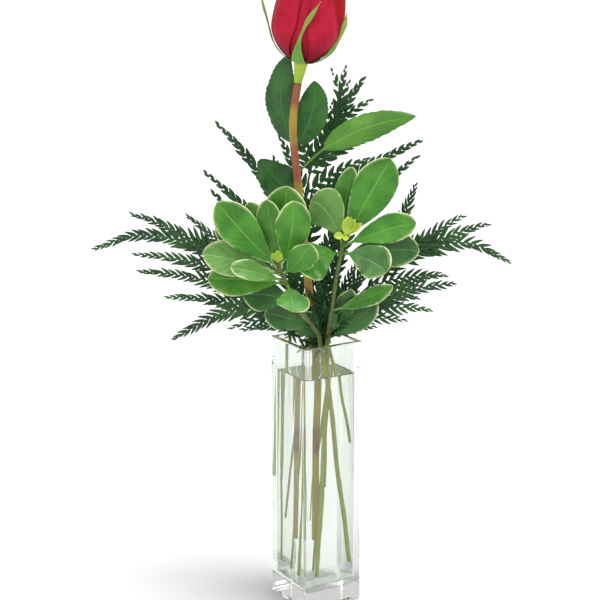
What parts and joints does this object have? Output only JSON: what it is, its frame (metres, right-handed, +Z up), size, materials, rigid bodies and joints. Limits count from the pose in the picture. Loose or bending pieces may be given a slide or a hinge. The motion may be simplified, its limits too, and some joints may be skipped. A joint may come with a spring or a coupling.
{
  "type": "glass bud vase",
  "caption": "Square glass bud vase of water holding one rose, variegated pittosporum sprigs and leatherleaf fern, each lifting out.",
  "frame": {"origin": "centre of the vase's flat underside", "axes": "+Z up along the vase; the vase's walls face +-X and +-Y; the arrangement faces the vase's -X -Y corner"},
  "size_m": [0.2598, 0.1699, 0.4723],
  "materials": {
    "glass": "clear polished pressed glass",
    "water": "clear water",
    "petal": "velvety crimson petal",
    "sepal": "light green sepal and hip",
    "rose_stem": "olive green stem flushed with red",
    "rose_leaf": "satin dark green leaf",
    "sprig_stem": "woody olive brown stem",
    "sprig_leaf": "satin mid green leaf with a cream margin",
    "sprig_bud": "yellow green young leaves",
    "fern": "dark green leatherleaf frond"
  },
  "bodies": {
    "vase": {"vase_glass": "glass", "water_fill": "water"},
    "rose": {"rose_bud_core": "petal", "rose_hip": "sepal", "rose_leaf_1": "rose_leaf", "rose_leaf_2": "rose_leaf", "rose_leaf_3": "rose_leaf", "rose_leaf_4": "rose_leaf", "rose_petal_1": "petal", "rose_petal_10": "petal", "rose_petal_11": "petal", "rose_petal_2": "petal", "rose_petal_3": "petal", "rose_petal_4": "petal", "rose_petal_5": "petal", "rose_petal_6": "petal", "rose_petal_7": "petal", "rose_petal_8": "petal", "rose_petal_9": "petal", "rose_sepal_1": "sepal", "rose_sepal_2": "sepal", "rose_sepal_3": "sepal", "rose_sepal_4": "sepal", "rose_sepal_5": "sepal", "rose_stem": "rose_stem"},
    "sprig_left": {"sprig_left_leaf_1": "sprig_leaf", "sprig_left_leaf_10": "sprig_leaf", "sprig_left_leaf_11": "sprig_leaf", "sprig_left_leaf_12": "sprig_leaf", "sprig_left_leaf_13": "sprig_leaf", "sprig_left_leaf_14": "sprig_leaf", "sprig_left_leaf_2": "sprig_leaf", "sprig_left_leaf_3": "sprig_leaf", "sprig_left_leaf_4": "sprig_leaf", "sprig_left_leaf_5": "sprig_leaf", "sprig_left_leaf_6": "sprig_leaf", "sprig_left_leaf_7": "sprig_leaf", "sprig_left_leaf_8": "sprig_leaf", "sprig_left_leaf_9": "sprig_leaf", "sprig_left_stem": "sprig_stem", "sprig_left_tuft": "sprig_bud"},
    "sprig_right": {"sprig_right_leaf_1": "sprig_leaf", "sprig_right_leaf_10": "sprig_leaf", "sprig_right_leaf_2": "sprig_leaf", "sprig_right_leaf_3": "sprig_leaf", "sprig_right_leaf_4": "sprig_leaf", "sprig_right_leaf_5": "sprig_leaf", "sprig_right_leaf_6": "sprig_leaf", "sprig_right_leaf_7": "sprig_leaf", "sprig_right_leaf_8": "sprig_leaf", "sprig_right_leaf_9": "sprig_leaf", "sprig_right_stem": "sprig_stem", "sprig_right_tuft": "sprig_bud"},
    "fern_left": {"fern_left": "fern"},
    "fern_left_low": {"fern_left_low": "fern"},
    "fern_back": {"fern_back": "fern"},
    "fern_right": {"fern_right": "fern"},
    "fern_right_low": {"fern_right_low": "fern"}
  },
  "joints": [
    {"name": "rose_lift", "type": "slide", "parent": "vase", "child": "rose", "axis": [0.0196, -0.012, 0.9997], "range_m": [0, 0.161], "deforming": ["water_fill"]},
    {"name": "sprig_left_lift", "type": "slide", "parent": "vase", "child": "sprig_left", "axis": [-0.1279, 0.0237, 0.9915], "range_m": [0, 0.18], "deforming": ["water_fill"]},
    {"name": "sprig_right_lift", "type": "slide", "parent": "vase", "child": "sprig_right", "axis": [0.039, -0.0566, 0.9976], "range_m": [0, 0.19], "deforming": ["water_fill"]},
    {"name": "fern_left_lift", "type": "slide", "parent": "vase", "child": "fern_left", "axis": [0.0222, 0.0106, 0.9997], "range_m": [0, 0.182], "deforming": ["water_fill"]},
    {"name": "fern_left_low_lift", "type": "slide", "parent": "vase", "child": "fern_left_low", "axis": [-0.092, 0.2462, 0.9648], "range_m": [0, 0.086], "deforming": ["water_fill"]},
    {"name": "fern_back_lift", "type": "slide", "parent": "vase", "child": "fern_back", "axis": [0.0252, 0.0158, 0.9996], "range_m": [0, 0.124], "deforming": ["water_fill"]},
    {"name": "fern_right_lift", "type": "slide", "parent": "vase", "child": "fern_right", "axis": [0.1463, -0.0731, 0.9865], "range_m": [0, 0.15], "deforming": ["water_fill"]},
    {"name": "fern_right_low_lift", "type": "slide", "parent": "vase", "child": "fern_right_low", "axis": [0.0617, -0.0819, 0.9947], "range_m": [0, 0.189], "deforming": ["water_fill"]}
  ]
}
